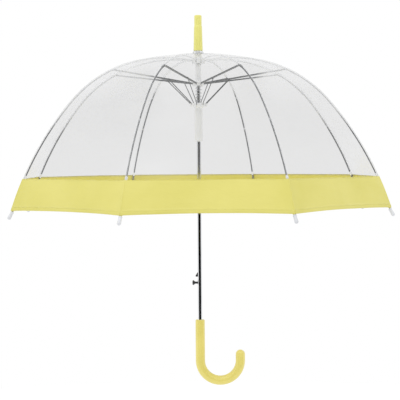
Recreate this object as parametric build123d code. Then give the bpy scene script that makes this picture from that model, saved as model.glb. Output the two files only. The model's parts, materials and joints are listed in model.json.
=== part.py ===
"""Clear dome stick umbrella: crook handle, steel shaft, folding rib frame and an eight-gore film canopy.

Millimetres, +Z up the shaft, origin at the middle of the straight hand grip, crook opening towards +X.
"""

from build123d import *
import math
import os

# ---- Ribs and canopy ----
RIBS = 8
RIB_STEP = 360 / RIBS
RIB_PHASE = 24.8  # azimuth of rib 1 from +X, degrees
FILM = 0.3  # canopy film
SEAM_GAP = 0.2  # each gore stops this far short of its rib plane
CROWN_RADIUS = 8.5  # inner edge of the film
CROWN_HEIGHT = 635.5
CROWN_SLOPE = 3.0  # degrees below horizontal at the crown
DOME_ARCS = ((856.0, 9.0), (282.0, 36.7), (657.0, 23.2))  # radius and turn of each tangent arc, crown to hem
HEM_SLOPE = CROWN_SLOPE + sum(turn for radius, turn in DOME_ARCS)
HEM_RISE = 3.0  # the hem's middle stands this far above its corners
GORE_STEPS = 9  # slopes that a gore's curve passes through, after the crown
BLANK = 500.0  # size of the blank and the wedge that a gore is cut from
SCALLOP_CUT = 200.0  # radial length of the cut that shapes the hem
RIB_DROP = 3.2  # rib centreline below the film
TIP_SLOPE = 61.0  # past the hem the rib ends and their tips flare outwards

# ---- Rib, stretcher and strut sections ----
RIB_HEIGHT = 2.2
RIB_WIDTH = 2.4
LUG_WIDTH = 1.4  # a rib's or stretcher's flat end
LUG_HEIGHT = 2.6
RIB_LUG = 22.0  # length of the inner rib's flat end inside the stretcher's channel
HUB_LUG = 8.0  # length of its flat end at the notch
CHANNEL_WIDTH = 3.2
CHANNEL_HEIGHT = 3.2
CHANNEL_WALL = 0.6
CHANNEL_START = 6.6  # from the runner's pivot
CHANNEL_OPEN_END = 5.0  # the channel has no web this close to the rib joint
FORK_INNER = 1.9  # the outer rib's ears start this far from the rib plane
FORK_OUTER = 2.6
FORK_LENGTH = 7.0
FORK_ROOT = 5.0  # length of the block behind the ears
EYE_RADIUS = 1.9
RIVET_RADIUS = 0.9
RIVET_HOLE = 0.96
RIVET_HEAD = 1.5
HEAD_GAP = 0.2
HEAD_THICKNESS = 0.6
PIN_RADIUS = 0.7
PIN_HOLE = 0.76
STRUT_INNER = 1.9  # the struts lie beside the stretchers
STRUT_OUTER = 2.9
STRUT_HALF_HEIGHT = 0.9
STRUT_EYE = 1.6

# ---- Fold linkage ----
JOINT_SLOPE = 25.0  # the rib joint sits where the dome slopes this much
HUB_PIVOT = 11.0  # pivot circle of the notch and the upper runner
NOTCH_PIVOT_HEIGHT = 620.0
STRUT_PIVOT = 16.0  # pivot circle of the lower runner
RUNNER_GAP = 46.0  # between the two runners' pivots, canopy open
STRUT_REACH = 62.0  # along the stretcher from its runner pivot

# ---- Shaft, ferrule and crown ----
SHAFT_RADIUS = 4.8
SHAFT_BORE = 4.0
SHAFT_FOOT = 2.0
SHAFT_TOP = 700.0
PRESS = 0.03  # radial gap of parts fixed on the shaft
GLIDE = 0.2  # radial gap of parts that slide on it
FERRULE_FOOT = 642.0
FERRULE_TIP = 721.0
FERRULE_WIDE = 10.2
FERRULE_NARROW = 8.2
FERRULE_SHOULDER = 696.0
FERRULE_NOSE = 2.5
CROWN_CAP_RADIUS = 13.0
CROWN_CAP_FOOT = 636.7

# ---- Runners ----
NOTCH_RADIUS = 14.2
NOTCH_NECK = 7.0  # passes through the film up to the crown cap
UPPER_HUB_RADIUS = 14.0
UPPER_SLEEVE_RADIUS = 6.4
LOWER_HUB_RADIUS = 19.0
LOWER_SLEEVE_RADIUS = 8.6
LOWER_SLEEVE_LENGTH = 82.0  # below the lower pivots
SLEEVE_LIP = 0.8
HUB_SHOULDER = 9.0  # the sleeve is pressed into the hub this far below the lower pivots
SLEEVE_NOTCH = 13.0  # height of the notch in its foot that passes over the catch
SLOT_GAP = 0.3
NOTCH_SLOT_FLOOR = 8.2  # the slots reach in to this radius
UPPER_SLOT_FLOOR = 8.3
LOWER_SLOT_FLOOR = 13.0
HUB_PIN_REACH = 2.4  # half the length of a notch or upper runner pin
SPRING_RADIUS = 7.0
SPRING_WIRE = 0.5
SPRING_TURNS = 5

# ---- Handle, button and catch ----
GRIP_TOP = 45.6
GRIP_RADIUS = 10.4
GRIP_EDGE = 2.4  # rounding round the grip's top
CROOK_RADIUS = 44.5
CROOK_HEIGHT = -45.6  # height of the bend's centre
CROOK_ARM_TOP = -22.0
BUTTON_HEIGHT = 128.0
BUTTON_STEM = 2.4
BUTTON_HEAD = 5.4
CATCH_FOOT = 141.5
CATCH_TOP = 150.4
LEAF_FACE = -2.9  # outer face of the latch's leaf spring, from the shaft's axis
LEAF_THICKNESS = 0.5
LEAF_WIDTH = 3.8
LEAF_FOOT = 118.0
LEAF_LENGTH = 46.0
LEAF_TOE = 1.4
CATCH_WIDTH = 3.6
CATCH_REACH = 9.2
TIP_RADIUS = 3.9
TIP_MOUTH = 3.1
TIP_WAIST = 3.3
TIP_COLLAR = 1.5  # the collar stands this far from the tip's mouth
TIP_LENGTH = 18.0
TIP_GAP = 1.0  # between the hem and the tip's collar
TIP_DEPTH = 6.0  # the rib stops this far short of the tip's end
PUSH_FIT = 0.02

os.makedirs("parts", exist_ok=True)


# ---- Geometry of one rib plane: radius along +X, height along +Z ----
def polar(length, slope):
    """Vector of a length along a slope's outward normal."""
    return Vector(length * math.sin(math.radians(slope)), 0, length * math.cos(math.radians(slope)))


def dome_arc_centres():
    """Centre of each dome arc, with the slopes where it starts and ends."""
    point = Vector(CROWN_RADIUS, 0, CROWN_HEIGHT)
    slope = CROWN_SLOPE
    arcs = []
    for radius, turn in DOME_ARCS:
        centre = point - polar(radius, slope)
        arcs.append((centre, radius, slope, slope + turn))
        slope += turn
        point = centre + polar(radius, slope)
    return arcs


DOME = dome_arc_centres()


def dome_point(slope, drop=0.0):
    """Point on the film's underside where it has the given slope, or drop below it."""
    for centre, radius, start, end in DOME:
        if slope <= end + 1e-6:
            return centre + polar(radius - drop, slope)
    raise ValueError("slope beyond the hem")


def tangent(slope):
    """Unit vector down along the dome at a slope."""
    return Vector(math.cos(math.radians(slope)), 0, -math.sin(math.radians(slope)))


NOTCH_PIVOT = Vector(HUB_PIVOT, 0, NOTCH_PIVOT_HEIGHT)
RIB_JOINT = dome_point(JOINT_SLOPE, RIB_DROP)
UPPER_PIVOT = Vector(HUB_PIVOT, 0, 2 * RIB_JOINT.Z - NOTCH_PIVOT_HEIGHT)
LOWER_PIVOT = Vector(STRUT_PIVOT, 0, UPPER_PIVOT.Z - RUNNER_GAP)
LINK_LENGTH = (RIB_JOINT - NOTCH_PIVOT).length
STRETCHER_DIR = (RIB_JOINT - UPPER_PIVOT).normalized()
STRUT_JOINT = UPPER_PIVOT + STRETCHER_DIR * STRUT_REACH


def slab(face, near, far=None):
    """Extrude a face of the rib plane between two sideways distances, or equally both ways."""
    if far is None:
        return extrude(face, amount=near, dir=(0, 1, 0), both=True)
    return Pos(0, near, 0) * extrude(face, amount=far - near, dir=(0, 1, 0))


def outline(*edges):
    """Face of the rib plane from edges end to end."""
    return Face(Wire(list(edges)))


def round_corner(centre, radius):
    """Quarter arc from a centre's outer side to its top."""
    return ThreePointArc(*[centre + polar(radius, slope) for slope in (90, 45, 0)])


def arc_band(centre, radius, start, end, half):
    """Band either side of an arc between two slopes."""
    middle = (start + end) / 2
    outer = [centre + polar(radius + half, slope) for slope in (start, middle, end)]
    inner = [centre + polar(radius - half, slope) for slope in (end, middle, start)]
    return outline(
        ThreePointArc(*outer),
        Line(outer[2], inner[0]),
        ThreePointArc(*inner),
        Line(inner[2], outer[0]),
    )


def straight_band(start, end, below, above):
    """Straight bar from start to end, between two distances either side of the line."""
    along = (end - start).normalized()
    up = Vector(-along.Z, 0, along.X)
    corners = [start - up * below, end - up * below, end + up * above, start + up * above]
    return outline(*[Line(corners[i], corners[(i + 1) % 4]) for i in range(4)])


def disc(point, radius, near, far=None):
    """Round plate in the rib plane, about a hinge axis."""
    if far is None:
        near, far = -near, near
    plate = Cylinder(radius, far - near, rotation=(90, 0, 0))
    return Pos(point.X, (near + far) / 2, point.Z) * plate


def ring_of(solid):
    """The eight copies of a rib-plane solid."""
    return [Rot(0, 0, RIB_PHASE + RIB_STEP * number) * solid for number in range(RIBS)]


def turned(points):
    """Solid of revolution about the shaft from (radius, height) corners."""
    loop = [Vector(radius, 0, height) for radius, height in points]
    edges = [Line(loop[i], loop[(i + 1) % len(loop)]) for i in range(len(loop))]
    return revolve(outline(*edges), Axis.Z)


def save(name, solids):
    """Write one node's STEP file."""
    if isinstance(solids, list):
        solids = Compound(children=solids)
    export_step(solids, f"parts/{name}.step")


def save_ring(name, solid):
    """Write the eight copies of a part as numbered nodes."""
    for number, copy in enumerate(ring_of(solid), start=1):
        save(f"{name}_{number}", copy)


# ---- Frame ----
def inner_rib():
    """White rib from the notch to the rib joint, following the film, with its rivet at the joint."""
    chord = RIB_JOINT - NOTCH_PIVOT
    chord_slope = math.degrees(math.atan2(-chord.Z, chord.X))
    half_turn = JOINT_SLOPE - chord_slope
    radius = LINK_LENGTH / 2 / math.sin(math.radians(half_turn))
    centre = RIB_JOINT - polar(radius, JOINT_SLOPE)
    start = chord_slope - half_turn
    lug_turn = math.degrees(RIB_LUG / radius)
    hub_turn = math.degrees(HUB_LUG / radius)
    half = RIB_HEIGHT / 2
    bar = slab(arc_band(centre, radius, start + hub_turn, JOINT_SLOPE - lug_turn, half), RIB_WIDTH / 2)
    bar += slab(arc_band(centre, radius, start, JOINT_SLOPE, half), LUG_WIDTH / 2)
    bar += disc(NOTCH_PIVOT, EYE_RADIUS, LUG_WIDTH / 2) + disc(RIB_JOINT, EYE_RADIUS, LUG_WIDTH / 2)
    bar -= disc(NOTCH_PIVOT, PIN_HOLE, LUG_WIDTH)
    head_near = FORK_OUTER + HEAD_GAP
    head_far = head_near + HEAD_THICKNESS
    bar += disc(RIB_JOINT, RIVET_RADIUS, head_far)
    for near, far in ((head_near, head_far), (-head_far, -head_near)):
        bar += disc(RIB_JOINT, RIVET_HEAD, near, far)
    return bar


def outer_rib():
    """Dark rib from its fork at the rib joint along the film to the hem, and on into the tip."""
    half = RIB_HEIGHT / 2
    hem = dome_point(HEM_SLOPE, RIB_DROP)
    end = hem + tangent(TIP_SLOPE) * (TIP_GAP + TIP_LENGTH - TIP_DEPTH)
    bar = slab(straight_band(hem, end, half, half), RIB_WIDTH / 2)
    for centre, radius, start, stop in DOME[1:]:
        fork_slope = JOINT_SLOPE + math.degrees(FORK_LENGTH / radius)
        band = arc_band(centre, radius - RIB_DROP, max(start, fork_slope), stop, half)
        bar += slab(band, RIB_WIDTH / 2)
    out = tangent(JOINT_SLOPE)
    root = RIB_JOINT + out * FORK_LENGTH
    bar += slab(straight_band(root, root + out * FORK_ROOT, half, half), FORK_OUTER)
    ear = straight_band(RIB_JOINT, RIB_JOINT + out * (FORK_LENGTH + 1), half, half)
    for near, far in ((-FORK_OUTER, -FORK_INNER), (FORK_INNER, FORK_OUTER)):
        bar += slab(ear, near, far) + disc(RIB_JOINT, EYE_RADIUS, near, far)
    return bar - disc(RIB_JOINT, RIVET_HOLE, FORK_OUTER + 1)


def stretcher():
    """Channel-section link from the upper runner out to the rib joint."""
    half = CHANNEL_HEIGHT / 2
    channel_start = UPPER_PIVOT + STRETCHER_DIR * CHANNEL_START
    solid = straight_band(channel_start, RIB_JOINT, half, half)
    web_end = RIB_JOINT - STRETCHER_DIR * CHANNEL_OPEN_END
    link = slab(solid, CHANNEL_WIDTH / 2) + disc(RIB_JOINT, EYE_RADIUS, CHANNEL_WIDTH / 2)
    trough_start = channel_start + STRETCHER_DIR * CHANNEL_OPEN_END
    trough = straight_band(trough_start, web_end, half - CHANNEL_WALL, half + 1)
    opening = straight_band(web_end, RIB_JOINT + STRETCHER_DIR * 4, half + 1, half + 1)
    inside = CHANNEL_WIDTH / 2 - CHANNEL_WALL
    link -= slab(trough, inside) + slab(opening, inside)
    lug = straight_band(UPPER_PIVOT, UPPER_PIVOT + STRETCHER_DIR * 9, LUG_HEIGHT / 2, LUG_HEIGHT / 2)
    link += slab(lug, LUG_WIDTH / 2) + disc(UPPER_PIVOT, EYE_RADIUS, LUG_WIDTH / 2)
    return link - disc(UPPER_PIVOT, PIN_HOLE, LUG_WIDTH) - disc(RIB_JOINT, RIVET_HOLE, CHANNEL_WIDTH)


def strut():
    """Flat strut from the lower runner up beside the stretcher, with its rivet head outside."""
    bar = straight_band(LOWER_PIVOT, STRUT_JOINT, STRUT_HALF_HEIGHT, STRUT_HALF_HEIGHT)
    link = slab(bar, STRUT_INNER, STRUT_OUTER)
    link += disc(LOWER_PIVOT, STRUT_EYE, STRUT_INNER, STRUT_OUTER)
    link += disc(STRUT_JOINT, EYE_RADIUS, STRUT_INNER, STRUT_OUTER)
    link += disc(STRUT_JOINT, RIVET_HEAD, STRUT_OUTER, STRUT_OUTER + HEAD_THICKNESS)
    return link - disc(LOWER_PIVOT, PIN_HOLE, STRUT_INNER - 1, STRUT_OUTER + 1)


def rib_tip():
    """Plastic tip on a rib's end, with the collar that the hem is tied to."""
    hem = dome_point(HEM_SLOPE, RIB_DROP)
    along = tangent(TIP_SLOPE)
    place = Plane(origin=hem + along * TIP_GAP, x_dir=(0, 1, 0), z_dir=along)
    collar = Vector(TIP_RADIUS, 0, TIP_COLLAR)
    waist = Vector(TIP_WAIST, 0, TIP_COLLAR + 2.5)
    profile = outline(
        Line(Vector(0, 0, 0), Vector(TIP_MOUTH, 0, 0)),
        Line(Vector(TIP_MOUTH, 0, 0), collar),
        Line(collar, waist),
        Line(waist, Vector(TIP_RADIUS, 0, TIP_LENGTH - TIP_RADIUS)),
        round_corner(Vector(0, 0, TIP_LENGTH - TIP_RADIUS), TIP_RADIUS),
        Line(Vector(0, 0, TIP_LENGTH), Vector(0, 0, 0)),
    )
    tip = place * revolve(profile, Axis.Z)
    end = hem + along * (TIP_GAP + TIP_LENGTH - TIP_DEPTH + PUSH_FIT)
    half = RIB_HEIGHT / 2 + PUSH_FIT
    socket = slab(straight_band(hem - along * 2, end, half, half), RIB_WIDTH / 2 + PUSH_FIT)
    return tip - socket


def canopy_gore():
    """One film panel between two ribs: flat across, curved from crown to hem, scalloped at the hem."""
    half_angle = RIB_STEP / 2
    flat = math.cos(math.radians(half_angle))
    slopes = [CROWN_SLOPE + (HEM_SLOPE - CROWN_SLOPE) * step / GORE_STEPS for step in range(GORE_STEPS + 1)]

    def middle(slope, drop):
        point = dome_point(slope, drop)
        return Vector(point.X * flat, 0, point.Z)

    under = [middle(slope, 0) for slope in slopes]
    over = [middle(slope, -FILM) for slope in reversed(slopes)]
    section = outline(Spline(*under), Line(under[-1], over[0]), Spline(*over), Line(over[-1], under[0]))
    sheet = slab(section, BLANK / 2)
    side = math.radians(half_angle)
    shift = SEAM_GAP / math.sin(side)
    wedge_edge = Vector(BLANK * math.cos(side), BLANK * math.sin(side), 0)
    corner = Vector(shift, 0, 0)
    wedge = Face(
        Wire(
            [
                Line(corner, corner + wedge_edge),
                Line(corner + wedge_edge, corner + Vector(wedge_edge.X, -wedge_edge.Y, 0)),
                Line(corner + Vector(wedge_edge.X, -wedge_edge.Y, 0), corner),
            ]
        )
    )
    sheet = sheet & extrude(wedge, amount=SHAFT_TOP, dir=(0, 0, 1))
    hem = dome_point(HEM_SLOPE)
    half_hem = hem.X * math.sin(side)
    hem_radius = (half_hem**2 + HEM_RISE**2) / (2 * HEM_RISE)
    scallop = Cylinder(hem_radius, SCALLOP_CUT, rotation=(0, 90, 0))
    sheet -= Pos(hem.X * flat, 0, hem.Z + HEM_RISE - hem_radius) * scallop
    return Rot(0, 0, half_angle) * sheet


# ---- Hubs on the shaft ----
def slots(inner, half_width, offset, bottom, top):
    """Radial slots for the links' flat ends, cut from an inner radius outwards."""
    reach = 1.5 * LOWER_HUB_RADIUS
    cut = Box(reach, half_width * 2, top - bottom)
    return ring_of(Pos(inner + reach / 2, offset, (bottom + top) / 2) * cut)


def hub_pins(pivot, near, far):
    """The eight short hinge pins of a hub."""
    return ring_of(disc(pivot, PIN_RADIUS, near, far))


def with_pins(hub, slot_cuts, pins):
    """A hub with its slots cut and its pins seated, each pin a separate solid."""
    for cut in slot_cuts + pins:
        hub -= cut
    seated = []
    for pin in pins:
        seated += pin.solids()
    return hub.solids() + seated


def top_notch():
    """Fixed white notch under the crown that the inner ribs hinge on."""
    height = NOTCH_PIVOT.Z
    bore = SHAFT_RADIUS + PRESS
    body = turned(
        [
            (bore, height - 6),
            (NOTCH_RADIUS - 1, height - 6),
            (NOTCH_RADIUS, height - 5),
            (NOTCH_RADIUS, height + 5),
            (NOTCH_RADIUS - 2, height + 6.5),
            (8, height + 8),
            (NOTCH_NECK, CROWN_CAP_FOOT - 0.1),
            (bore, CROWN_CAP_FOOT - 0.1),
        ]
    )
    cuts = slots(NOTCH_SLOT_FLOOR, LUG_WIDTH / 2 + SLOT_GAP, 0, height - 7, height + EYE_RADIUS + 0.7)
    return with_pins(body, cuts, hub_pins(NOTCH_PIVOT, -HUB_PIN_REACH, HUB_PIN_REACH))


def upper_runner():
    """Sliding hub that the stretchers hinge on, with the sleeve that stops it under the notch."""
    height = UPPER_PIVOT.Z
    bore = SHAFT_RADIUS + GLIDE
    body = turned(
        [
            (bore, height - 5),
            (UPPER_HUB_RADIUS - 1, height - 5),
            (UPPER_HUB_RADIUS, height - 4),
            (UPPER_HUB_RADIUS, height + 3),
            (UPPER_HUB_RADIUS - 1, height + 4),
            (UPPER_SLEEVE_RADIUS + 1.2, height + 4),
            (UPPER_SLEEVE_RADIUS, height + 7),
            (UPPER_SLEEVE_RADIUS, NOTCH_PIVOT.Z - 7.4),
            (UPPER_SLEEVE_RADIUS - 0.6, NOTCH_PIVOT.Z - 6.8),
            (bore, NOTCH_PIVOT.Z - 6.8),
        ]
    )
    cuts = slots(UPPER_SLOT_FLOOR, LUG_WIDTH / 2 + SLOT_GAP, 0, height - EYE_RADIUS - 0.5, height + 10)
    return with_pins(body, cuts, hub_pins(UPPER_PIVOT, -HUB_PIN_REACH, HUB_PIN_REACH))


def lower_runner():
    """Sliding hub that the struts hinge on, with the long sleeve pressed into it that the hand pulls down."""
    height = LOWER_PIVOT.Z
    bore = SHAFT_RADIUS + GLIDE
    foot = height - LOWER_SLEEVE_LENGTH
    shoulder = height - HUB_SHOULDER
    sleeve = turned(
        [
            (bore, foot),
            (LOWER_SLEEVE_RADIUS, foot),
            (LOWER_SLEEVE_RADIUS + SLEEVE_LIP, foot + 1),
            (LOWER_SLEEVE_RADIUS + SLEEVE_LIP, foot + 4),
            (LOWER_SLEEVE_RADIUS, foot + 6),
            (LOWER_SLEEVE_RADIUS, shoulder),
            (bore, shoulder),
        ]
    )
    hub = turned(
        [
            (bore, shoulder),
            (LOWER_SLEEVE_RADIUS, shoulder),
            (LOWER_SLEEVE_RADIUS + 3, height - 4.5),
            (LOWER_HUB_RADIUS - 1, height - 4.5),
            (LOWER_HUB_RADIUS, height - 3.5),
            (LOWER_HUB_RADIUS, height + 2),
            (LOWER_HUB_RADIUS - 1, height + 3),
            (bore, height + 3),
        ]
    )
    middle = (STRUT_INNER + STRUT_OUTER) / 2
    half = (STRUT_OUTER - STRUT_INNER) / 2 + SLOT_GAP
    cuts = slots(LOWER_SLOT_FLOOR, half, middle, height - STRUT_EYE - 0.5, height + 10)
    notch = Pos(-LOWER_SLEEVE_RADIUS, 0, foot) * Box(10, 5, 2 * SLEEVE_NOTCH)
    pins = hub_pins(LOWER_PIVOT, middle - half - 1, middle + half + 1)
    return (sleeve - notch).solids() + with_pins(hub, cuts, pins)


def opening_spring():
    """Coil spring round the shaft between the two runners."""
    foot = LOWER_PIVOT.Z + 3 + SPRING_WIRE + 0.4
    top = UPPER_PIVOT.Z - 5 - SPRING_WIRE - 0.4
    coil = Helix(pitch=(top - foot) / SPRING_TURNS, height=top - foot, radius=SPRING_RADIUS)
    section = Plane(origin=coil @ 0, z_dir=coil % 0) * Circle(SPRING_WIRE)
    return Pos(0, 0, foot) * sweep(section, path=coil, is_frenet=True)


# ---- Shaft and fixed pieces ----
def shaft_tube():
    """Chromed steel tube with the button's hole and the catch's slot."""
    tube = turned(
        [
            (SHAFT_BORE, SHAFT_FOOT),
            (SHAFT_RADIUS, SHAFT_FOOT),
            (SHAFT_RADIUS, SHAFT_TOP),
            (SHAFT_BORE, SHAFT_TOP),
        ]
    )
    tube -= Pos(-SHAFT_RADIUS, 0, BUTTON_HEIGHT) * Cylinder(BUTTON_STEM + 0.08, 6, rotation=(0, 90, 0))
    catch_height = CATCH_TOP - CATCH_FOOT + 0.8
    tube -= Pos(-SHAFT_RADIUS, 0, (CATCH_TOP + CATCH_FOOT) / 2) * Box(6, 4.2, catch_height)
    return tube


def ferrule():
    """Tapered plastic ferrule on the shaft's top end, with a straight nose."""
    bore = SHAFT_RADIUS + PRESS
    nose = FERRULE_NOSE
    edges = [
        Line(Vector(bore, 0, FERRULE_FOOT), Vector(FERRULE_WIDE - 0.8, 0, FERRULE_FOOT)),
        Line(Vector(FERRULE_WIDE - 0.8, 0, FERRULE_FOOT), Vector(FERRULE_WIDE, 0, FERRULE_FOOT + 1)),
        Line(Vector(FERRULE_WIDE, 0, FERRULE_FOOT + 1), Vector(FERRULE_WIDE - 0.2, 0, FERRULE_FOOT + 8)),
        Line(
            Vector(FERRULE_WIDE - 0.2, 0, FERRULE_FOOT + 8),
            Vector(FERRULE_NARROW + 0.7, 0, FERRULE_SHOULDER),
        ),
        Line(
            Vector(FERRULE_NARROW + 0.7, 0, FERRULE_SHOULDER),
            Vector(FERRULE_NARROW, 0, FERRULE_SHOULDER + 1.5),
        ),
        Line(
            Vector(FERRULE_NARROW, 0, FERRULE_SHOULDER + 1.5),
            Vector(FERRULE_NARROW, 0, FERRULE_TIP - nose),
        ),
        round_corner(Vector(FERRULE_NARROW - nose, 0, FERRULE_TIP - nose), nose),
        Line(Vector(FERRULE_NARROW - nose, 0, FERRULE_TIP), Vector(0, 0, FERRULE_TIP)),
        Line(Vector(0, 0, FERRULE_TIP), Vector(0, 0, SHAFT_TOP + 0.5)),
        Line(Vector(0, 0, SHAFT_TOP + 0.5), Vector(bore, 0, SHAFT_TOP + 0.5)),
        Line(Vector(bore, 0, SHAFT_TOP + 0.5), Vector(bore, 0, FERRULE_FOOT)),
    ]
    return revolve(outline(*edges), Axis.Z)


def crown_cap():
    """Clear washer that clamps the film's crown under the ferrule."""
    bore = SHAFT_RADIUS + PRESS
    top = FERRULE_FOOT - 0.1
    return turned(
        [
            (bore, CROWN_CAP_FOOT),
            (CROWN_CAP_RADIUS, CROWN_CAP_FOOT),
            (CROWN_CAP_RADIUS, CROWN_CAP_FOOT + 1.4),
            (FERRULE_WIDE + 1.0, top - 1.2),
            (FERRULE_WIDE + 0.4, top),
            (bore, top),
        ]
    )


def crook_handle():
    """Round-section crook: straight grip, half-circle bend and a short rounded arm."""
    bend = Vector(CROOK_RADIUS, 0, CROOK_HEIGHT)
    arm_end = Vector(2 * CROOK_RADIUS, 0, CROOK_ARM_TOP - GRIP_RADIUS)
    grip = Pos(0, 0, (GRIP_TOP + CROOK_HEIGHT) / 2) * Cylinder(GRIP_RADIUS, GRIP_TOP - CROOK_HEIGHT)
    grip = fillet(grip.edges().sort_by(Axis.Z)[-1], radius=GRIP_EDGE)
    ring = Pos(*bend) * Torus(CROOK_RADIUS, GRIP_RADIUS, rotation=(90, 0, 0))
    lower = Pos(bend.X, 0, CROOK_HEIGHT - 50) * Box(200, 60, 100)
    arm_length = arm_end.Z - CROOK_HEIGHT
    arm = Pos(arm_end.X, 0, CROOK_HEIGHT + arm_length / 2) * Cylinder(GRIP_RADIUS, arm_length)
    handle = grip + (ring & lower) + arm + Pos(*arm_end) * Sphere(GRIP_RADIUS)
    socket = Cylinder(SHAFT_RADIUS + PRESS, GRIP_TOP, align=(Align.CENTER, Align.CENTER, Align.MIN))
    return handle - Pos(0, 0, SHAFT_FOOT - 0.2) * socket


# ---- Latch ----
def release_button():
    """Flared push button with its stem through the shaft wall."""
    points = [
        (0, -3.3),
        (BUTTON_STEM, -3.3),
        (BUTTON_STEM, -9.8),
        (BUTTON_STEM + 0.6, -11.2),
        (BUTTON_HEAD - 0.5, -13.0),
        (BUTTON_HEAD, -13.6),
        (BUTTON_HEAD, -15.0),
        (BUTTON_HEAD - 0.8, -16.2),
        (0, -16.8),
    ]
    return Pos(0, 0, BUTTON_HEIGHT) * Rot(0, 90, 0) * turned(points)


def runner_catch():
    """Wedge that holds the lower runner down when the umbrella is closed."""
    corners = [
        Vector(-2.95, 0, CATCH_FOOT),
        Vector(-CATCH_REACH, 0, CATCH_FOOT),
        Vector(-CATCH_REACH, 0, CATCH_FOOT + 2.5),
        Vector(-5.2, 0, CATCH_TOP),
        Vector(-2.95, 0, CATCH_TOP),
    ]
    edges = [Line(corners[i], corners[(i + 1) % 5]) for i in range(5)]
    return slab(outline(*edges), CATCH_WIDTH / 2)


def latch_spring():
    """Steel leaf inside the shaft that the button presses and the catch sits on."""
    middle = LEAF_FACE + LEAF_THICKNESS / 2
    leaf = Pos(middle, 0, LEAF_FOOT + LEAF_LENGTH / 2) * Box(LEAF_THICKNESS, LEAF_WIDTH, LEAF_LENGTH)
    toe = Box(LEAF_TOE, LEAF_WIDTH, LEAF_THICKNESS)
    return leaf + Pos(LEAF_FACE + LEAF_TOE / 2, 0, LEAF_FOOT + LEAF_THICKNESS / 2) * toe


save_ring("inner_rib", inner_rib())
save_ring("outer_rib", outer_rib())
save_ring("stretcher", stretcher())
save_ring("strut", strut())
save_ring("rib_tip", rib_tip())
save_ring("canopy_gore", canopy_gore())
save("top_notch", top_notch())
save("upper_runner", upper_runner())
save("lower_runner", lower_runner())
save("opening_spring", opening_spring())
save("shaft_tube", shaft_tube())
save("ferrule", ferrule())
save("crown_cap", crown_cap())
save("crook_handle", crook_handle())
save("release_button", release_button())
save("runner_catch", runner_catch())
save("latch_spring", latch_spring())
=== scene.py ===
"""Looks of the clear dome stick umbrella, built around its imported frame. Metres, +Z up the shaft."""

import json
import math

import bpy
from mathutils import Matrix, Vector, noise


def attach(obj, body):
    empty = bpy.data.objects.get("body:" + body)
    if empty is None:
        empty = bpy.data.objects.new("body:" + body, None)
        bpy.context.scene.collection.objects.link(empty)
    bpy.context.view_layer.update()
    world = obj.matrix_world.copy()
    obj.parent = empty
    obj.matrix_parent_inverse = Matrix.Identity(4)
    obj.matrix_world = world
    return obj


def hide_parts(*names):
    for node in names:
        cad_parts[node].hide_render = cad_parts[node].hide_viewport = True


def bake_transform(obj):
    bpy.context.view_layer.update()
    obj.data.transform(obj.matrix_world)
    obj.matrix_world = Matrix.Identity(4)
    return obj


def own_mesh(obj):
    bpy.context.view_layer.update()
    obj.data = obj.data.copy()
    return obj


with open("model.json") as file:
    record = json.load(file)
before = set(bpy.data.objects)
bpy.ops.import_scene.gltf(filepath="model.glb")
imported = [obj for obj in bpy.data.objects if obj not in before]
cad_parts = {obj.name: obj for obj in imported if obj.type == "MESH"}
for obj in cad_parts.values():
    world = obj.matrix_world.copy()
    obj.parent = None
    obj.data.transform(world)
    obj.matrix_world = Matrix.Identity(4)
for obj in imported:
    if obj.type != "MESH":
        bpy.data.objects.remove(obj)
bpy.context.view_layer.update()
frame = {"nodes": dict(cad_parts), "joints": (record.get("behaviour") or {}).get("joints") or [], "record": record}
JOINTS = {joint["name"]: joint for joint in frame["joints"]}

# ---- Dome, as the frame was designed ----
RIBS = 8
RIB_STEP = math.tau / RIBS
DOME_ARCS = ((0.856, 9.0), (0.282, 36.7), (0.657, 23.2))  # radius and turn in degrees, crown to hem
CROWN_SLOPE = 3.0
HEM_SLOPE = CROWN_SLOPE + sum(turn for radius, turn in DOME_ARCS)
CROWN_RADIUS = 0.0085
CROWN_HEIGHT = 0.6355
JOINT_SLOPE = 25.0
SKIRT_SLOPE = 6.8  # the crown's own film ends here
BAND_SLOPE = 65.8  # top of the yellow border
SEAM_GAP = 0.45  # degrees of slope that a seam stops short of the crease over the ribs' joint
HEM_RISE = 0.003
RIB_DROP = 0.0032
FILM_LIFT = 0.00015  # middle of the film, above its underside
NOTCH_PIVOT = Vector(JOINTS["canopy_fold"]["pos_m"])
RIB_PHASE = math.atan2(NOTCH_PIVOT.y, NOTCH_PIVOT.x)

# ---- Waves of the film: height in metres, then how fast they come and fade ----
CANOPY_RUN = 0.52  # rough length of the film from crown to hem
SEAM_HOLD = 0.012  # the film lies flat at a seam and is free this far from it
SWELL_HEIGHT = 0.0016
STREAK_HEIGHT = 0.0003
PUCKER_HEIGHT = 0.00018
PUCKER_RATE = 620
PUCKER_FADE = 0.010
GATHER_HEIGHT = 0.0007
GATHERS = 9  # half waves across a gore at the crown
GATHER_FADE = 0.05
SEED_STEP = 7.31  # keeps the gores' waves apart


def radial(angle):
    """Unit vector away from the shaft."""
    return Vector((math.cos(angle), math.sin(angle), 0))


def sideways(angle):
    """Unit vector square to the radial one, the way the ribs are numbered."""
    return Vector((-math.sin(angle), math.cos(angle), 0))


def dome_profile(slope, lift=0.0):
    """Radius and height of the rib line where the film slopes down by slope degrees."""
    x, z, start = CROWN_RADIUS, CROWN_HEIGHT, CROWN_SLOPE
    for radius, turn in DOME_ARCS:
        centre_x = x - radius * math.sin(math.radians(start))
        centre_z = z - radius * math.cos(math.radians(start))
        end = start + turn
        reach = radius + lift
        if slope <= end + 1e-6 or radius == DOME_ARCS[-1][0]:
            angle = math.radians(slope)
            return centre_x + reach * math.sin(angle), centre_z + reach * math.cos(angle)
        x = centre_x + radius * math.sin(math.radians(end))
        z = centre_z + radius * math.cos(math.radians(end))
        start = end


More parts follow.
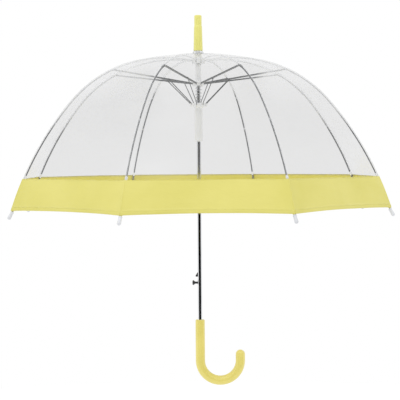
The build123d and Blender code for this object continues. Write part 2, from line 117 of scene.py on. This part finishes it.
def rib_point(rib, slope, lift=0.0):
    """Point on the film over a rib."""
    radius, height = dome_profile(slope, lift)
    point = radial(RIB_PHASE + rib * RIB_STEP) * radius
    point.z = height
    return point


def rib_tangent(rib, slope):
    """Unit vector down along the dome over a rib."""
    angle = math.radians(slope)
    along = radial(RIB_PHASE + rib * RIB_STEP) * math.cos(angle)
    along.z = -math.sin(angle)
    return along


def gore_normal(gore, slope):
    """Outward normal of a gore, which is flat across."""
    angle = math.radians(slope)
    flat = math.cos(RIB_STEP / 2)
    middle = radial(RIB_PHASE + (gore + 0.5) * RIB_STEP)
    normal = middle * math.sin(angle) + Vector((0, 0, math.cos(angle) * flat))
    return normal.normalized()


def film_wave(gore, slope, across):
    """Small waves of the stretched film: puckers at the seams and crown, and soft diagonal swells."""
    radius, height = dome_profile(slope)
    width = 2 * radius * math.sin(RIB_STEP / 2)
    from_seam = min(across, 1 - across) * width
    hold = min(1.0, from_seam / SEAM_HOLD)
    hold = hold * hold * (3 - 2 * hold)
    seed = gore * SEED_STEP
    along = (slope - CROWN_SLOPE) / (HEM_SLOPE - CROWN_SLOPE)
    side = (across - 0.5) * width
    run = along * CANOPY_RUN
    swell = noise.noise(Vector((side * 9 + run * 6, run * 16 - side * 7, seed)))
    streak = noise.noise(Vector((side * 30 + run * 22, run * 9 - side * 6, seed + 3.7)))
    pucker = math.sin(run * PUCKER_RATE + seed) * math.exp(-from_seam / PUCKER_FADE)
    gather = math.sin(across * math.pi * GATHERS + seed) * math.exp(-radius / GATHER_FADE)
    soft = SWELL_HEIGHT * swell + STREAK_HEIGHT * streak
    return hold * (soft + PUCKER_HEIGHT * pucker + GATHER_HEIGHT * gather)


def film_point(gore, slope, across, lift=FILM_LIFT):
    """Point of a gore between its two ribs."""
    left = rib_point(gore, slope)
    right = rib_point(gore + 1, slope)
    raised = lift + film_wave(gore, slope, across)
    return left.lerp(right, across) + gore_normal(gore, slope) * raised


# ---- Mesh helpers ----
def add_mesh(name, points, faces, material):
    """Smooth-shaded object in the scene from points and faces."""
    mesh = bpy.data.meshes.new(name)
    mesh.from_pydata([tuple(point) for point in points], [], faces)
    mesh.polygons.foreach_set("use_smooth", [True] * len(mesh.polygons))
    mesh.materials.append(material)
    piece = bpy.data.objects.new(name, mesh)
    bpy.context.scene.collection.objects.link(piece)
    return piece


def grid_faces(rows, columns, closed=False):
    """Quads of a grid of points, row after row, closed across its columns if it is a tube."""
    faces = []
    spans = columns if closed else columns - 1
    for row in range(rows - 1):
        for column in range(spans):
            after = (column + 1) % columns
            near, far = row * columns, (row + 1) * columns
            faces.append((near + column, near + after, far + after, far + column))
    return faces


def add_tube(name, stations, material, sides=20):
    """Closed tube through (centre, side vector, up vector, squareness) sections, round at squareness 2."""
    points = []
    for centre, side, up, squareness in stations:
        power = 2 / squareness
        for step in range(sides):
            angle = math.tau * step / sides
            cosine, sine = math.cos(angle), math.sin(angle)
            x = math.copysign(abs(cosine) ** power, cosine)
            y = math.copysign(abs(sine) ** power, sine)
            points.append(centre + side * x + up * y)
    faces = grid_faces(len(stations), sides, closed=True)
    faces.append(tuple(reversed(range(sides))))
    faces.append(tuple(range(len(points) - sides, len(points))))
    return add_mesh(name, points, faces, material)


# ---- Materials ----
def new_material(name, colour, roughness, **sockets):
    """Material with a Principled shader; sockets are its own inputs by name, with _ for spaces."""
    material = bpy.data.materials.new(name)
    material.use_nodes = True
    shader = material.node_tree.nodes["Principled BSDF"]
    shader.inputs["Base Color"].default_value = (*colour, 1)
    shader.inputs["Roughness"].default_value = roughness
    for socket, value in sockets.items():
        shader.inputs[socket.replace("_", " ")].default_value = value
    return material, material.node_tree, shader


def object_noise(tree, scale, detail=2.0, stretch=(1, 1, 1), turn=(0, 0, 0)):
    """Noise in object coordinates, stretched and turned."""
    nodes, links = tree.nodes, tree.links
    coordinates = nodes.new("ShaderNodeTexCoord")
    mapping = nodes.new("ShaderNodeMapping")
    mapping.inputs["Scale"].default_value = stretch
    mapping.inputs["Rotation"].default_value = turn
    texture = nodes.new("ShaderNodeTexNoise")
    texture.inputs["Scale"].default_value = scale
    texture.inputs["Detail"].default_value = detail
    links.new(coordinates.outputs["Object"], mapping.inputs["Vector"])
    links.new(mapping.outputs["Vector"], texture.inputs["Vector"])
    return texture.outputs["Fac"]


def ramp(tree, source, low, high, start=0.35, end=0.65):
    """Colour ramp between two colours."""
    node = tree.nodes.new("ShaderNodeValToRGB")
    node.color_ramp.elements[0].position = start
    node.color_ramp.elements[1].position = end
    node.color_ramp.elements[0].color = (*low, 1)
    node.color_ramp.elements[1].color = (*high, 1)
    tree.links.new(source, node.inputs["Fac"])
    return node.outputs["Color"]


def spread(tree, source, low, high, start=0.3, end=0.7):
    """Value between low and high as the source goes from start to end."""
    node = tree.nodes.new("ShaderNodeMapRange")
    node.interpolation_type = "SMOOTHSTEP"
    node.inputs["From Min"].default_value = start
    node.inputs["From Max"].default_value = end
    node.inputs["To Min"].default_value = low
    node.inputs["To Max"].default_value = high
    tree.links.new(source, node.inputs["Value"])
    return node.outputs["Result"]


def bump(tree, shader, source, strength, distance):
    """Bump the shader's normal with the source as height."""
    node = tree.nodes.new("ShaderNodeBump")
    node.inputs["Strength"].default_value = strength
    node.inputs["Distance"].default_value = distance
    tree.links.new(source, node.inputs["Height"])
    tree.links.new(node.outputs["Normal"], shader.inputs["Normal"])


def object_axis(tree, axis):
    """One object coordinate, in metres."""
    coordinates = tree.nodes.new("ShaderNodeTexCoord")
    split = tree.nodes.new("ShaderNodeSeparateXYZ")
    tree.links.new(coordinates.outputs["Object"], split.inputs["Vector"])
    return split.outputs[axis]


def maths(tree, operation, first, second=0.0):
    """Math node on one or two sources or numbers."""
    node = tree.nodes.new("ShaderNodeMath")
    node.operation = operation
    for socket, value in zip(node.inputs, (first, second)):
        if isinstance(value, float):
            socket.default_value = value
        else:
            tree.links.new(value, socket)
    return node.outputs["Value"]


def clear_film():
    """Clear film: a grey veil with a painted reflection haze high on both sides and soft painted whitish
    reflection streaks, stronger on the left; fine creases bump it.
    """
    material, tree, shader = new_material("clear_film", (0.5, 0.505, 0.51), 0.2, Specular_IOR_Level=0.5)
    # Painted reflection streaks: soft whitish streaks that stand for light caught along the film's folds.
    streaks = object_noise(tree, 4.0, 2.0, stretch=(1.0, 1.0, 3.4), turn=(0.5, 0.75, 0.3))
    crease = object_noise(tree, 20.0, 2.0, stretch=(1.0, 1.0, 3.0), turn=(0.4, 0.8, 0.2))
    # Painted reflection haze: whiter and less clear high up on both sides, in patches.
    aside = spread(tree, maths(tree, "ABSOLUTE", object_axis(tree, "X")), 0.0, 1.0, 0.07, 0.16)
    high = spread(tree, object_axis(tree, "Z"), 0.0, 1.0, 0.40, 0.60)
    patchy = spread(tree, object_noise(tree, 6.0, 1.0), 0.6, 1.0, 0.35, 0.6)
    painted_haze = maths(tree, "MULTIPLY", maths(tree, "MULTIPLY", aside, high), patchy)
    soft = spread(tree, streaks, 0.0, 1.0, 0.45, 0.68)
    # The painted reflection streaks are stronger on the left side, at negative X.
    painted_sheen = maths(tree, "MULTIPLY", soft, spread(tree, object_axis(tree, "X"), 0.55, 0.1, -0.12, 0.05))
    painted_light = maths(tree, "MAXIMUM", maths(tree, "MULTIPLY", painted_haze, 0.75), painted_sheen)
    # The painted haze and streaks turn the grey film towards white.
    colour = ramp(tree, painted_light, (0.33, 0.332, 0.338), (0.74, 0.745, 0.76), 0.0, 1.0)
    tree.links.new(colour, shader.inputs["Base Color"])
    # The painted haze and streaks also make the film less clear.
    alpha = maths(tree, "ADD", maths(tree, "MULTIPLY", painted_haze, 0.18), maths(tree, "MULTIPLY", painted_sheen, 0.10))
    tree.links.new(maths(tree, "ADD", alpha, 0.19), shader.inputs["Alpha"])
    tree.links.new(spread(tree, crease, 0.14, 0.3), shader.inputs["Roughness"])
    bump(tree, shader, crease, 0.08, 0.002)
    return material


def seam_film():
    """Welded double film along a rib: whiter than the single film."""
    material, tree, shader = new_material("seam_film", (0.8, 0.81, 0.82), 0.3)
    grain = object_noise(tree, 400.0, 2.0)
    tree.links.new(ramp(tree, grain, (0.74, 0.75, 0.76), (0.84, 0.85, 0.86)), shader.inputs["Base Color"])
    tree.links.new(spread(tree, grain, 0.2, 0.32), shader.inputs["Alpha"])
    return material


def yellow_film(name, low, high, alpha):
    """Border film: nearly opaque yellow with faint mottling and soft creases."""
    material, tree, shader = new_material(name, low, 0.34, Specular_IOR_Level=0.4)
    mottle = object_noise(tree, 9.0, 3.0)
    crease = object_noise(tree, 26.0, 3.0, stretch=(1.0, 1.0, 2.4), turn=(0.2, 0.9, 0.3))
    colour = ramp(tree, mottle, low, high, 0.3, 0.7)
    tree.links.new(colour, shader.inputs["Base Color"])
    tree.links.new(spread(tree, crease, 0.28, 0.42), shader.inputs["Roughness"])
    bump(tree, shader, crease, 0.45, 0.003)
    shader.inputs["Alpha"].default_value = alpha
    return material


def moulded(name, low, high, roughness, coat):
    """Moulded plastic with faint colour variation and a fine skin."""
    material, tree, shader = new_material(name, high, roughness, Coat_Weight=coat, Coat_Roughness=0.08)
    cloud = object_noise(tree, 14.0, 2.0)
    skin = object_noise(tree, 720.0, 2.0)
    tree.links.new(ramp(tree, cloud, low, high, 0.3, 0.7), shader.inputs["Base Color"])
    tree.links.new(spread(tree, skin, roughness - 0.05, roughness + 0.07), shader.inputs["Roughness"])
    bump(tree, shader, skin, 0.12, 0.0002)
    return material


def steel(name, low, high, roughness, metallic, stretch):
    """Drawn steel with fine lines along its length."""
    material, tree, shader = new_material(name, high, roughness, Metallic=metallic)
    lines = object_noise(tree, 300.0, 2.0, stretch=stretch)
    tree.links.new(ramp(tree, lines, low, high), shader.inputs["Base Color"])
    tree.links.new(spread(tree, lines, roughness - 0.03, roughness + 0.06), shader.inputs["Roughness"])
    return material


def stage_paper():
    """Matt white paper with faint fibres."""
    material, tree, shader = new_material("studio_paper", (0.93, 0.93, 0.93), 0.9, Specular_IOR_Level=0.1)
    fibre = object_noise(tree, 3.0, 3.0)
    tree.links.new(ramp(tree, fibre, (0.92, 0.92, 0.92), (0.94, 0.94, 0.94)), shader.inputs["Base Color"])
    return material


CLEAR_FILM = clear_film()
SEAM_FILM = seam_film()
YELLOW_FILM = yellow_film("yellow_film", (0.685, 0.63, 0.155), (0.745, 0.685, 0.195), 0.96)
# Inner skin of the border: deeper yellow that paints the light let through the border from behind.
YELLOW_FILM_PAINTED_BACKLIGHT = yellow_film("deep_yellow_film", (0.78, 0.68, 0.03), (0.83, 0.72, 0.045), 0.9)


def steel_with_painted_sheen(name, axis, low, high):
    """Frame steel, dark near the middle of the umbrella, with a painted whitish reflection beyond two places along
    one axis.
    """
    material = steel(name, (0.10, 0.105, 0.11), (0.18, 0.185, 0.19), 0.32, 0.25, (1, 1, 0.3))
    tree = material.node_tree
    base_colour = tree.nodes["Principled BSDF"].inputs["Base Color"]
    dark = base_colour.links[0].from_socket
    place = object_axis(tree, axis)
    # Painted reflection: the steel turns whitish beyond these places, where a bright reflection would run along
    # it.
    painted_sheen = spread(tree, place, 0.0, 1.0, *high)
    if low is not None:
        painted_sheen = maths(tree, "MAXIMUM", painted_sheen, spread(tree, place, 1.0, 0.0, *low))
    mix = tree.nodes.new("ShaderNodeMix")
    mix.data_type = "RGBA"
    factor, first_colour, second_colour = (mix.inputs[index] for index in (0, 6, 7))  # the RGBA sockets
    # Colour of the painted reflection.
    second_colour.default_value = (0.74, 0.745, 0.75, 1)
    tree.links.new(painted_sheen, factor)
    tree.links.new(dark, first_colour)
    tree.links.new(mix.outputs[2], base_colour)
    return material


# Painted reflections: side stretchers whitish at their outer ends, side and far ribs whitish up high.
SIDE_STEEL_PAINTED_SHEEN = steel_with_painted_sheen("side_stretcher_steel", "X", (-0.115, -0.085), (0.125, 0.155))
SIDE_RIB_PAINTED_SHEEN = steel_with_painted_sheen("side_rib_steel", "Z", None, (0.455, 0.515))
FAR_RIB_PAINTED_SHEEN = steel_with_painted_sheen("far_rib_steel", "Z", None, (0.55, 0.575))
SIDE_RIBS = (1, 4, 5, 8)
FAR_RIBS = (2, 3)
TIP_PLASTIC = moulded("tip_plastic", (0.64, 0.65, 0.675), (0.71, 0.72, 0.745), 0.32, 0.2)
SLOT_MATERIALS = {
    "chrome_steel": steel("chrome_steel", (0.70, 0.71, 0.72), (0.82, 0.83, 0.84), 0.1, 1.0, (1, 1, 0.05)),
    "dark_steel": steel("dark_steel", (0.09, 0.095, 0.1), (0.17, 0.175, 0.18), 0.34, 0.3, (1, 1, 1)),
    "dark_rib": steel("dark_rib", (0.10, 0.105, 0.11), (0.19, 0.195, 0.2), 0.3, 0.3, (1, 1, 0.3)),
    "spring_steel": steel("spring_steel", (0.5, 0.5, 0.51), (0.68, 0.68, 0.69), 0.3, 1.0, (1, 1, 1)),
    "white_rib": moulded("white_rib", (0.78, 0.79, 0.8), (0.88, 0.89, 0.9), 0.35, 0.2),
    "white_plastic": moulded("white_plastic", (0.83, 0.835, 0.84), (0.9, 0.905, 0.91), 0.32, 0.2),
    "yellow_plastic": moulded("yellow_plastic", (0.76, 0.72, 0.19), (0.82, 0.775, 0.235), 0.3, 0.25),
    "handle_plastic": moulded("handle_plastic", (0.74, 0.64, 0.155), (0.82, 0.71, 0.20), 0.27, 0.35),
    "black_plastic": moulded("black_plastic", (0.012, 0.012, 0.013), (0.03, 0.03, 0.032), 0.35, 0.2),
}


def clear_plastic():
    """Clear moulded washer."""
    material, tree, shader = new_material("clear_plastic", (0.8, 0.81, 0.83), 0.15)
    cloud = object_noise(tree, 90.0, 2.0)
    tree.links.new(ramp(tree, cloud, (0.72, 0.73, 0.76), (0.86, 0.87, 0.89)), shader.inputs["Base Color"])
    tree.links.new(spread(tree, cloud, 0.5, 0.7), shader.inputs["Alpha"])
    return material


SLOT_MATERIALS["clear_plastic"] = clear_plastic()


# ---- Camera ----
CAMERA_DISTANCE = 2.39
CAMERA_HEIGHT = 0.4006
AIM = Vector((0.002, 0, 0.3562))
SHIFT_DOWN = 0.05  # of the picture's width
VIEW_WIDTH = 0.888  # what the picture spans at the shaft
SENSOR = 36.0
CAMERA_ROLL = math.radians(-0.42)
CLIP_END = 50


def add_camera():
    """Camera level with the canopy, in front of it."""
    camera_data = bpy.data.cameras.new("camera")
    camera_data.sensor_width = SENSOR
    camera_data.lens = SENSOR * CAMERA_DISTANCE / VIEW_WIDTH
    camera_data.clip_end = CLIP_END
    camera_data.shift_y = -SHIFT_DOWN
    camera = bpy.data.objects.new("camera", camera_data)
    bpy.context.scene.collection.objects.link(camera)
    place = Vector((0, -CAMERA_DISTANCE, CAMERA_HEIGHT))
    turn = (AIM - place).to_track_quat("-Z", "Y").to_matrix().to_4x4()
    camera.matrix_world = Matrix.Translation(place) @ turn @ Matrix.Rotation(CAMERA_ROLL, 4, "Z")
    bpy.context.scene.camera = camera


# ---- Studio ----
FLOOR_HEIGHT = -3.0
FLOOR_REACH = 14.0
FLOOR_RINGS = 24
FLOOR_STEPS = 48
SUN_STRENGTH = 0.5
SUN_ANGLE = math.radians(35)
SUN_TURN = (math.radians(28), math.radians(-18), 0)
FLAG_DISTANCE = 3.2
FLAG_LOW = -1.28
FLAG_HIGH = 1.25
FLAG_START = math.radians(-90 - 62)
FLAG_TURN = math.radians(132)
FLAG_STEPS = 24


def add_world():
    """Even white sky."""
    world = bpy.data.worlds.new("studio")
    world.use_nodes = True
    background = world.node_tree.nodes["Background"]
    background.inputs["Color"].default_value = (1, 1, 1, 1)
    background.inputs["Strength"].default_value = 1.0
    bpy.context.scene.world = world


def add_floor():
    """Pale round floor, well below the umbrella."""
    drop = Vector((0, 0, FLOOR_HEIGHT))
    points = [drop]
    for ring in range(1, FLOOR_RINGS + 1):
        for step in range(FLOOR_STEPS):
            points.append(radial(math.tau * step / FLOOR_STEPS) * (FLOOR_REACH * ring / FLOOR_RINGS) + drop)
    faces = [(0, 1 + step, 1 + (step + 1) % FLOOR_STEPS) for step in range(FLOOR_STEPS)]
    for ring in range(FLOOR_RINGS - 1):
        inner = 1 + ring * FLOOR_STEPS
        outer = inner + FLOOR_STEPS
        for step in range(FLOOR_STEPS):
            after = (step + 1) % FLOOR_STEPS
            faces.append((inner + step, outer + step, outer + after, inner + after))
    add_mesh("studio_floor", points, faces, stage_paper())


def add_sun():
    """Soft key light from above and one side."""
    sun_data = bpy.data.lights.new("key_sun", "SUN")
    sun_data.energy = SUN_STRENGTH
    sun_data.angle = SUN_ANGLE
    sun = bpy.data.objects.new("key_sun", sun_data)
    sun.rotation_euler = SUN_TURN
    bpy.context.scene.collection.objects.link(sun)


def add_flag():
    """Dark curved flag in front of the umbrella, which only reflections see."""
    cloth = new_material("flag_cloth", (0.004, 0.004, 0.004), 1.0, Specular_IOR_Level=0.0)[0]
    points = []
    for height in (FLAG_LOW, FLAG_HIGH):
        for step in range(FLAG_STEPS + 1):
            out = radial(FLAG_START + FLAG_TURN * step / FLAG_STEPS)
            points.append(out * FLAG_DISTANCE + Vector((0, 0, height)))
    flag = add_mesh("studio_flag", points, grid_faces(2, FLAG_STEPS + 1), cloth)
    flag.visible_camera = False
    flag.visible_diffuse = False
    flag.visible_transmission = False
    flag.visible_volume_scatter = False
    flag.visible_shadow = False


def add_stage():
    """White studio."""
    bpy.context.scene.view_settings.view_transform = "Standard"
    add_world()
    add_floor()
    add_sun()
    add_flag()


def film_rows(first, last, count):
    """Evenly spaced slopes from first to last."""
    return [first + (last - first) * row / (count - 1) for row in range(count)]


def film_panel(name, gore, slopes, columns):
    """Clear film between two ribs over a run of slopes."""
    shares = [column / (columns - 1) for column in range(columns)]
    points = [film_point(gore, slope, across) for slope in slopes for across in shares]
    return add_mesh(name, points, grid_faces(len(slopes), columns), CLEAR_FILM)


def scallop_slope(across, share):
    """Slope at a share of the way from the border's top to the scalloped hem."""
    rise = HEM_RISE * (1 - (2 * across - 1) ** 2)
    turn = math.degrees(rise / math.sin(math.radians(HEM_SLOPE)) / DOME_ARCS[-1][0])
    return BAND_SLOPE + (HEM_SLOPE - turn - BAND_SLOPE) * share


def border_point(gore, share, across, lift):
    """Point of the border at a share of the way from its top to the hem."""
    return film_point(gore, scallop_slope(across, share), across, lift)


BORDER_LIFT = 0.0007
# Gap between the border and its inner skin of painted backlight.
BACKLIT_SKIN_GAP = 0.0003
# Share of the way to the hem and lift of each row: welded top, plain face, raised hem, then turned up inside.
BORDER_ROWS = (
    [(0.0, FILM_LIFT + 0.0001), (0.004, BORDER_LIFT)]
    + [(0.004 + 0.876 * row / 14, BORDER_LIFT) for row in range(1, 14)]
    + [(0.885, BORDER_LIFT), (0.892, BORDER_LIFT + 0.0006), (0.93, BORDER_LIFT + 0.0008)]
    + [(0.985, BORDER_LIFT + 0.0007), (0.999, BORDER_LIFT + 0.0002), (1.0, BORDER_LIFT - 0.0006)]
    + [(0.99, BORDER_LIFT - 0.0012), (0.93, BORDER_LIFT - 0.0012), (0.892, BORDER_LIFT - 0.0011)]
)


def border_length(gore):
    """Length of the border along a rib, with the hem that is turned up inside."""
    run = [border_point(gore, share, 0.0, lift) for share, lift in BORDER_ROWS]
    return sum((after - before).length for before, after in zip(run, run[1:]))


def add_border(name, gore, material, inward=0.0, columns=33):
    """Yellow border of one gore with its turned-up hem."""
    points = [
        border_point(gore, share, column / (columns - 1), lift - inward)
        for share, lift in BORDER_ROWS
        for column in range(columns)
    ]
    return add_mesh(name, points, grid_faces(len(BORDER_ROWS), columns), material)


STITCH_ROWS = ((0.022, 58, BORDER_LIFT + 0.0001), (0.905, 62, BORDER_LIFT + 0.0009))  # place, count and lift
STITCH_LENGTH = 0.6  # of its pitch
STITCH_MARGIN = 0.015  # of the gore's width, left free at each seam
STITCH_HALF_WIDTH = 0.0004
STITCH_RISE = 0.00035
STITCH_DEPTH = 0.0002


def add_stitches(gore):
    """Two rows of welded stitch marks: along the border's top and along the folded hem."""
    points, faces = [], []
    for share, count, lift in STITCH_ROWS:
        half = STITCH_LENGTH / 2 / count
        for stitch in range(count):
            middle = (stitch + 0.5) / count
            if middle < STITCH_MARGIN or middle > 1 - STITCH_MARGIN:
                continue
            start = border_point(gore, share, middle - half, lift)
            end = border_point(gore, share, middle + half, lift)
            normal = gore_normal(gore, scallop_slope(middle, share))
            side = normal.cross((end - start).normalized()) * STITCH_HALF_WIDTH
            base = len(points)
            for centre, swell in ((start, 0.4), (start.lerp(end, 0.5), 1.0), (end, 0.4)):
                for direction in (side, normal * STITCH_RISE, -side, -normal * STITCH_DEPTH):
                    points.append(centre + direction * swell)
            for face in grid_faces(3, 4, closed=True) + [(3, 2, 1, 0), (8, 9, 10, 11)]:
                faces.append(tuple(base + corner for corner in face))
    return add_mesh(f"border_stitches_{gore + 1}", points, faces, STITCH)


SEAM_SECTION = ((-1, 0.0), (-0.8, 0.8), (-0.25, 1.0), (0, 1.05), (0.25, 1.0), (0.8, 0.8), (1, 0.0))
SEAM_HALF_WIDTH = 0.0017
SEAM_HEIGHT = 0.0005


def add_seam(name, rib, slopes, material, lift):
    """Raised weld where two gores meet over a rib."""
    points = []
    side = sideways(RIB_PHASE + rib * RIB_STEP)
    inward = -radial(RIB_PHASE + rib * RIB_STEP)
    fall = math.tan(RIB_STEP / 2)
    for slope in slopes:
        foot = rib_point(rib, slope, lift)
        up = rib_point(rib, slope, lift + SEAM_HEIGHT) - foot
        for reach, rise in SEAM_SECTION:
            offset = reach * SEAM_HALF_WIDTH
            points.append(foot + side * offset + inward * abs(offset) * fall + up * rise)
    return add_mesh(name, points, grid_faces(len(slopes), len(SEAM_SECTION)), material)


SLEEVE_SECTIONS = ((0, 0.86), (0.06, 0.97), (0.14, 1.0), (0.5, 1.03), (0.86, 1.0), (0.94, 0.97), (1, 0.86))
SLEEVE_SQUARENESS = 3.2
POCKET_SECTIONS = (  # distance back from the hem, half width and half height
    (0.0165, 0.0024, 0.0014),
    (0.0155, 0.0034, 0.0024),
    (0.0080, 0.0040, 0.0029),
    (0.0020, 0.0038, 0.0030),
    (0.0000, 0.0034, 0.0027),
)
POCKET_RAISE = 0.0006  # above the rib's centreline
POCKET_SQUARENESS = 2.4


def outward_up(side, along):
    """Unit vector square to a rib and its side, away from the inside of the dome."""
    up = side.cross(along).normalized()
    return -up if up.z < 0 else up


def add_rib_sleeve(name, rib, slope, half_side, half_up, length, material):
    """Small moulded sleeve round a rib that holds the film to it."""
    along = rib_tangent(rib, slope)
    side = sideways(RIB_PHASE + rib * RIB_STEP)
    up = outward_up(side, along)
    centre = rib_point(rib, slope, -RIB_DROP)
    stations = []
    for share, swell in SLEEVE_SECTIONS:
        place = centre + along * (share - 0.5) * length
        stations.append((place, side * half_side * swell, up * half_up * swell, SLEEVE_SQUARENESS))
    return add_tube(name, stations, material)


def add_corner_pocket(rib):
    """Yellow pocket at the hem's corner that the rib's tip is tied into."""
    side = sideways(RIB_PHASE + rib * RIB_STEP)
    stations = []
    for back, half_side, half_up in POCKET_SECTIONS:
        slope = HEM_SLOPE - math.degrees(back / DOME_ARCS[-1][0])
        up = outward_up(side, rib_tangent(rib, slope))
        place = rib_point(rib, slope, -RIB_DROP + POCKET_RAISE)
        stations.append((place, side * half_side, up * half_up, POCKET_SQUARENESS))
    return add_tube(f"corner_pocket_{rib + 1}", stations, YELLOW_FILM)


STITCH = moulded("stitch_weld", (0.70, 0.66, 0.16), (0.78, 0.73, 0.2), 0.45, 0.0)
BAND_OVERLAP = 0.3  # degrees of slope that the clear film runs on under the border
FITTINGS = (  # name, slope, half width, half height, length and slot
    ("band_clip", BAND_SLOPE - 0.35, 0.0024, 0.0022, 0.009, "white_plastic"),
    ("rib_loop_a", 41.0, 0.0019, 0.0017, 0.005, "clear_plastic"),
    ("rib_loop_b", 54.0, 0.0019, 0.0017, 0.005, "clear_plastic"),
)


def fold_with_rib(piece, body):
    """Let a film piece ride its rib."""
    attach(piece, body)
    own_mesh(piece)


def add_clear_gore(gore):
    """Clear film of one gore: crown, inner and outer panels."""
    number = gore + 1
    inner_body, outer_body = f"inner_rib_{number}", f"outer_rib_{number}"

    skirt = film_panel(f"crown_film_{number}", gore, film_rows(CROWN_SLOPE, SKIRT_SLOPE, 14), 25)
    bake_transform(skirt)

    inner = film_panel(f"inner_film_{number}", gore, film_rows(SKIRT_SLOPE, JOINT_SLOPE, 36), 49)
    fold_with_rib(inner, inner_body)

    outer_rows = film_rows(JOINT_SLOPE, BAND_SLOPE + BAND_OVERLAP, 60)
    outer = film_panel(f"outer_film_{number}", gore, outer_rows, 61)
    fold_with_rib(outer, outer_body)
    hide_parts(f"canopy_gore_{number}")


def add_yellow_gore(gore):
    """Yellow border of one gore, an inner skin in deeper yellow that is painted light let through the border, and
    its stitches.
    """
    outer_body = f"outer_rib_{gore + 1}"
    border = add_border(f"border_{gore + 1}", gore, YELLOW_FILM)
    # Inner skin whose deeper yellow is painted light let through the border.
    backlit_skin = add_border(f"border_backing_{gore + 1}", gore, YELLOW_FILM_PAINTED_BACKLIGHT, inward=BACKLIT_SKIN_GAP)
    stitches = add_stitches(gore)
    for piece in (border, backlit_skin):
        border_length(gore)
    for piece in (border, backlit_skin, stitches):
        fold_with_rib(piece, outer_body)


def add_seams(gore):
    """Welds over the gore's first rib: clear above the border, yellow down it."""
    number = gore + 1
    inner_body, outer_body = f"inner_rib_{number}", f"outer_rib_{number}"
    crease_start, crease_end = JOINT_SLOPE - SEAM_GAP, JOINT_SLOPE + SEAM_GAP
    for name, first, last, material, body, slot, lift in (
        (f"seam_inner_{number}", SKIRT_SLOPE, crease_start, SEAM_FILM, inner_body, "clear_film", FILM_LIFT),
        (f"seam_outer_{number}", crease_end, BAND_SLOPE, SEAM_FILM, outer_body, "clear_film", FILM_LIFT),
        (f"seam_border_{number}", BAND_SLOPE, HEM_SLOPE, YELLOW_FILM, outer_body, "yellow_film", BORDER_LIFT),
    ):
        seam = add_seam(name, gore, film_rows(first, last, 40), material, lift)
        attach(seam, body)


def add_fittings(gore):
    """Corner pocket, the border's clip and two loops on the gore's first rib."""
    number = gore + 1
    pocket = add_corner_pocket(gore)
    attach(pocket, f"outer_rib_{number}")
    for label, slope, half_side, half_up, length, slot in FITTINGS:
        material = SLOT_MATERIALS[slot]
        clip = add_rib_sleeve(f"{label}_{number}", gore, slope, half_side, half_up, length, material)
        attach(clip, f"outer_rib_{number}")


def add_canopy():
    """The eight gores, each with the fittings of its first rib."""
    hem_end = rib_point(0, HEM_SLOPE, -RIB_DROP)
    for gore in range(RIBS):
        add_clear_gore(gore)
        add_yellow_gore(gore)
        add_seams(gore)
        add_fittings(gore)


# ---- Opening spring ----
SPRING_FOOT = 0.5275
SPRING_TOP = 0.5637
SPRING_RADIUS = 0.0070
SPRING_WIRE = 0.0005
SPRING_TURNS = 5
SPRING_STEPS = 32  # sections in a turn


def add_opening_spring():
    """Coil round the shaft between the two runners, riding the upper runner."""
    stations = []
    sections = SPRING_TURNS * SPRING_STEPS
    for section in range(sections + 1):
        out = radial(math.tau * section / SPRING_STEPS)
        height = SPRING_FOOT + (SPRING_TOP - SPRING_FOOT) * section / sections
        centre = out * SPRING_RADIUS + Vector((0, 0, height))
        stations.append((centre, out * SPRING_WIRE, Vector((0, 0, SPRING_WIRE)), 2.0))
    coil = add_tube("spring_coil", stations, SLOT_MATERIALS["spring_steel"], 8)
    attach(coil, "upper_runner")
    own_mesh(coil)
    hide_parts("opening_spring")


# ---- CAD pieces that are shown as they are ----
def dress_frame():
    """Give each CAD node its slot's material, except the rib tips and the side and far ribs' steel, which gets
    painted whitish reflections.
    """
    slots = {row["node"]: row["material_slot"] for row in frame["record"]["subparts"]}
    for name, node in frame["nodes"].items():
        kind, number = name.rpartition("_")[::2]
        material = SLOT_MATERIALS.get(slots[name])
        # Side stretchers, side ribs and far ribs get steel with painted whitish reflections.
        if kind == "stretcher" and int(number) in SIDE_RIBS:
            material = SIDE_STEEL_PAINTED_SHEEN
        elif kind == "outer_rib" and int(number) in SIDE_RIBS:
            material = SIDE_RIB_PAINTED_SHEEN
        elif kind == "outer_rib" and int(number) in FAR_RIBS:
            material = FAR_RIB_PAINTED_SHEEN
        elif kind == "rib_tip":
            material = TIP_PLASTIC
        if material is not None:
            node.data.materials.clear()
            node.data.materials.append(material)


add_camera()
add_stage()
dress_frame()
add_canopy()
add_opening_spring()
